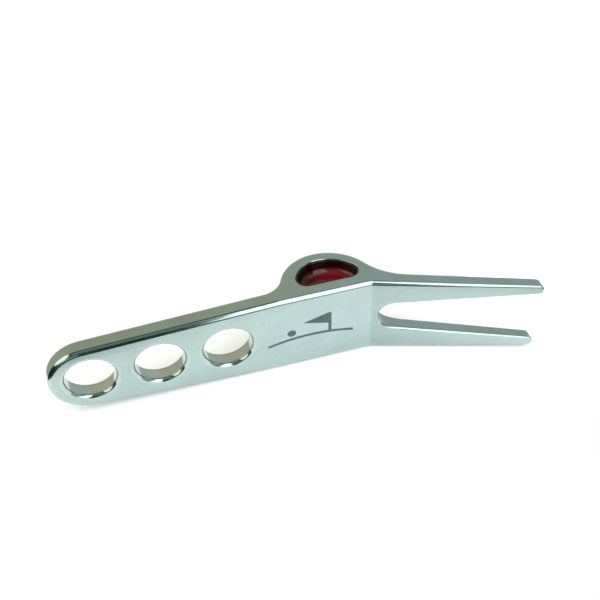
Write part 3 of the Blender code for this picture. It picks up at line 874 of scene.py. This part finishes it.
def enamel():
    """Deep red enamel, with painted shade that makes it darker on the walls and towards the handle, under a
    slightly wavy clear surface.
    """
    made, n = material("candy_red_enamel")
    place = n.node("ShaderNodeTexCoord").outputs["Object"]
    wave = n.noise(place, ENAMEL_WAVE_SCALE, 2.0)
    speck = n.noise(place, ENAMEL_SPECK_SCALE, 2.0)
    lift = n.math("SUBTRACT", n.part(place, 2), DESIGN_ORIGIN.z)
    depth = n.math("SUBTRACT", HALF_WIDTH, n.math("ABSOLUTE", lift))
    depth = n.math("ADD", depth, n.spread(wave, *NOISE_BAND, -WALL_WAVER, WALL_WAVER))
    full_depth = RECESS_DEPTH - ENAMEL_WALL
    share = n.spread(depth, full_depth - WALL_FADE, full_depth, 0.0, 1.0)
    along = n.math("SUBTRACT", n.part(place, 0), DESIGN_ORIGIN.x)
    share = n.math("MULTIPLY", share, n.spread(along, *POOL_ENDS_X, POOL_PAINTED_SHADE_SHARE, 1.0))
    # Painted shade: the walls are near black and the floor darker towards the handle.
    base = n.mix(share, PAINTED_SHADE_WALL_RED, FLOOR_RED)
    shader = n.node(
        "ShaderNodeBsdfPrincipled",
        {
            "Base Color": base,
            "Specular IOR Level": ENAMEL_SPECULAR,
            "Roughness": n.spread(speck, *NOISE_BAND, *ENAMEL_ROUGHNESS),
            "Coat Weight": COAT_WEIGHT,
            "Coat Roughness": COAT_ROUGHNESS,
            "Normal": n.bump(wave, ENAMEL_WAVE_STRENGTH, ENAMEL_WAVE_RELIEF),
        },
    )
    n.finish(shader.outputs[0])
    return made


def fill_paint(name, colour, dark_colour, roughness):
    """Matt paint in an engraved mark, a little uneven."""
    made, n = material(name)
    place = n.node("ShaderNodeTexCoord").outputs["Object"]
    mottle = n.noise(place, MOTTLE_SCALE, 3.0)
    grain = n.noise(place, PAINT_GRAIN_SCALE, 2.0)
    base = n.mix(n.spread(mottle, *NOISE_BAND, 0.0, 1.0), colour, dark_colour)
    smoothest, roughest = roughness - MOTTLE_ROUGHNESS, roughness + MOTTLE_ROUGHNESS
    shader = n.node(
        "ShaderNodeBsdfPrincipled",
        {
            "Base Color": base,
            "Roughness": n.spread(mottle, *NOISE_BAND, smoothest, roughest),
            "Normal": n.bump(grain, PAINT_GRAIN_STRENGTH, PAINT_GRAIN_RELIEF),
        },
    )
    n.finish(shader.outputs[0])
    return made


def floor_material():
    """Plain matt white board with a trace of tooth."""
    made, n = material("white_board")
    place = n.node("ShaderNodeTexCoord").outputs["Object"]
    tooth = n.noise(place, TOOTH_SCALE, 2.0)
    base = n.mix(tooth, *BOARD_SHADES)
    shader = n.node(
        "ShaderNodeBsdfPrincipled",
        {"Base Color": base, "Roughness": BOARD_ROUGHNESS, "Specular IOR Level": 0.0},
    )
    n.finish(shader.outputs[0])
    return made


def studio():
    """A plain white studio, with the soft boxes and the dim walls that the metal mirrors."""
    world = bpy.data.worlds.new("studio")
    bpy.context.scene.world = world
    world.use_nodes = True
    n = Nodes(world.node_tree)
    place = n.node("ShaderNodeTexCoord").outputs["Generated"]
    axes = n.node("ShaderNodeSeparateXYZ", {"Vector": place}).outputs
    total = None
    for colour, strength, limits in SOFT_LIGHTS:
        share = None
        for axis, (low, high, edge) in enumerate(limits):
            rise = n.spread(axes[axis], low - edge, low + edge, 0.0, 1.0)
            fall = n.spread(axes[axis], high - edge, high + edge, 1.0, 0.0)
            both = n.math("MULTIPLY", rise, fall)
            share = both if share is None else n.math("MULTIPLY", share, both)
        light = n.node("ShaderNodeVectorMath", {0: share, 1: tuple(c * strength for c in colour)})
        light.operation = "MULTIPLY"
        if total is None:
            total = light.outputs[0]
        else:
            total = n.node("ShaderNodeVectorMath", {0: total, 1: light.outputs[0]}).outputs[0]
    lit = n.node("ShaderNodeBackground", {"Color": total}).outputs[0]
    plain = n.node("ShaderNodeBackground", {"Color": BACKDROP}).outputs[0]
    seen = n.node("ShaderNodeLightPath").outputs["Is Camera Ray"]
    n.finish(n.node("ShaderNodeMixShader", {0: seen, 1: lit, 2: plain}).outputs[0], "ShaderNodeOutputWorld")


# ---------------------------------------------------------------- scene


def put_on(piece, look):
    """Gives a piece one material all over."""
    piece.data.materials.clear()
    piece.data.materials.append(look)


# In the order of SATIN, ROUNDED and BORE
body_looks = (
    aluminium("satin_face", *SATIN_FINISH),
    aluminium("rounded_edge", *ROUNDED_FINISH),
    aluminium("bored_wall", *BORED_FINISH),
)
body = milled_body(body_looks)
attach(body, "root")
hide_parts("tool_body")

red = enamel()
for name, end in (("upper", 1), ("lower", -1)):
    coat = add_object(f"{name}_enamel_coat", enamel_mesh(end))
    smooth(coat)
    put_on(coat, red)
    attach(coat, "root")
    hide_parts(f"{name}_recess_enamel")

grey = fill_paint("grey_mark_fill", *GREY_PAINT)
pale = fill_paint("pale_mark_fill", *PALE_PAINT)
for name, paint, slot in (
    ("flag_fill", grey, "grey_fill"),
    ("ball_fill", grey, "grey_fill"),
    ("crest_bar_1", pale, "pale_fill"),
    ("crest_bar_2", pale, "pale_fill"),
    ("crest_bar_3", pale, "pale_fill"),
):
    put_on(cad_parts[name], paint)

floor_data = bpy.data.meshes.new("floor")
low, high = CAD_BOX
left, right = low[0] - FLOOR_LEFT_MARGIN, high[0] + FLOOR_RIGHT_MARGIN
left_front, right_front = (low[1] - margin for margin in FLOOR_FRONT_MARGINS)
rear = high[1] + FLOOR_REAR_MARGIN
plan = ((left, left_front), (right, right_front), (right, rear), (left, rear))
floor_data.from_pydata([(x, y, low[2]) for x, y in plan], [], [(0, 1, 2, 3)])
floor = bpy.data.objects.new("floor", floor_data)
floor_data.materials.append(floor_material())
bpy.context.scene.collection.objects.link(floor)

studio()
fill_lamp = bpy.data.lights.new("overhead_fill", "SUN")
fill_lamp.angle = FILL_SPREAD
fill_lamp.energy = FILL_STRENGTH
fill = bpy.data.objects.new("overhead_fill", fill_lamp)
fill.rotation_euler.x = FILL_TILT
fill.visible_glossy = False
bpy.context.scene.collection.objects.link(fill)

softbox_lamp = bpy.data.lights.new("softbox", "AREA")
softbox_lamp.shape = "RECTANGLE"
softbox_lamp.size = SOFTBOX_WIDTH
softbox_lamp.size_y = SOFTBOX_HEIGHT
softbox_lamp.energy = SOFTBOX_POWER
softbox_lamp.color = SOFTBOX_COLOUR
softbox_lamp.diffuse_factor = 0.0
softbox = bpy.data.objects.new("softbox", softbox_lamp)
toward = Vector((0.0, -cos(SOFTBOX_ELEVATION), sin(SOFTBOX_ELEVATION)))
softbox.rotation_mode = "QUATERNION"
softbox.rotation_quaternion = (-toward).to_track_quat("-Z", "Y")
softbox.location = DESIGN_ORIGIN + SOFTBOX_TARGET + toward * SOFTBOX_DISTANCE
softbox.visible_camera = False
bpy.context.scene.collection.objects.link(softbox)

camera_data = bpy.data.cameras.new("camera")
camera_data.sensor_width = SENSOR_WIDTH
camera_data.lens = CAMERA_LENS
camera_data.clip_start, camera_data.clip_end = CAMERA_CLIP
camera = bpy.data.objects.new("camera", camera_data)
level = cos(CAMERA_ELEVATION)
back = Vector((sin(CAMERA_AZIMUTH) * level, -cos(CAMERA_AZIMUTH) * level, sin(CAMERA_ELEVATION)))
camera.rotation_mode = "QUATERNION"
camera.rotation_quaternion = (-back).to_track_quat("-Z", "Y") @ Quaternion((0.0, 0.0, 1.0), CAMERA_ROLL)
camera.location = DESIGN_ORIGIN + CAMERA_TARGET + back * CAMERA_DISTANCE
bpy.context.scene.collection.objects.link(camera)
bpy.context.scene.camera = camera
bpy.context.scene.view_settings.view_transform = "Standard"
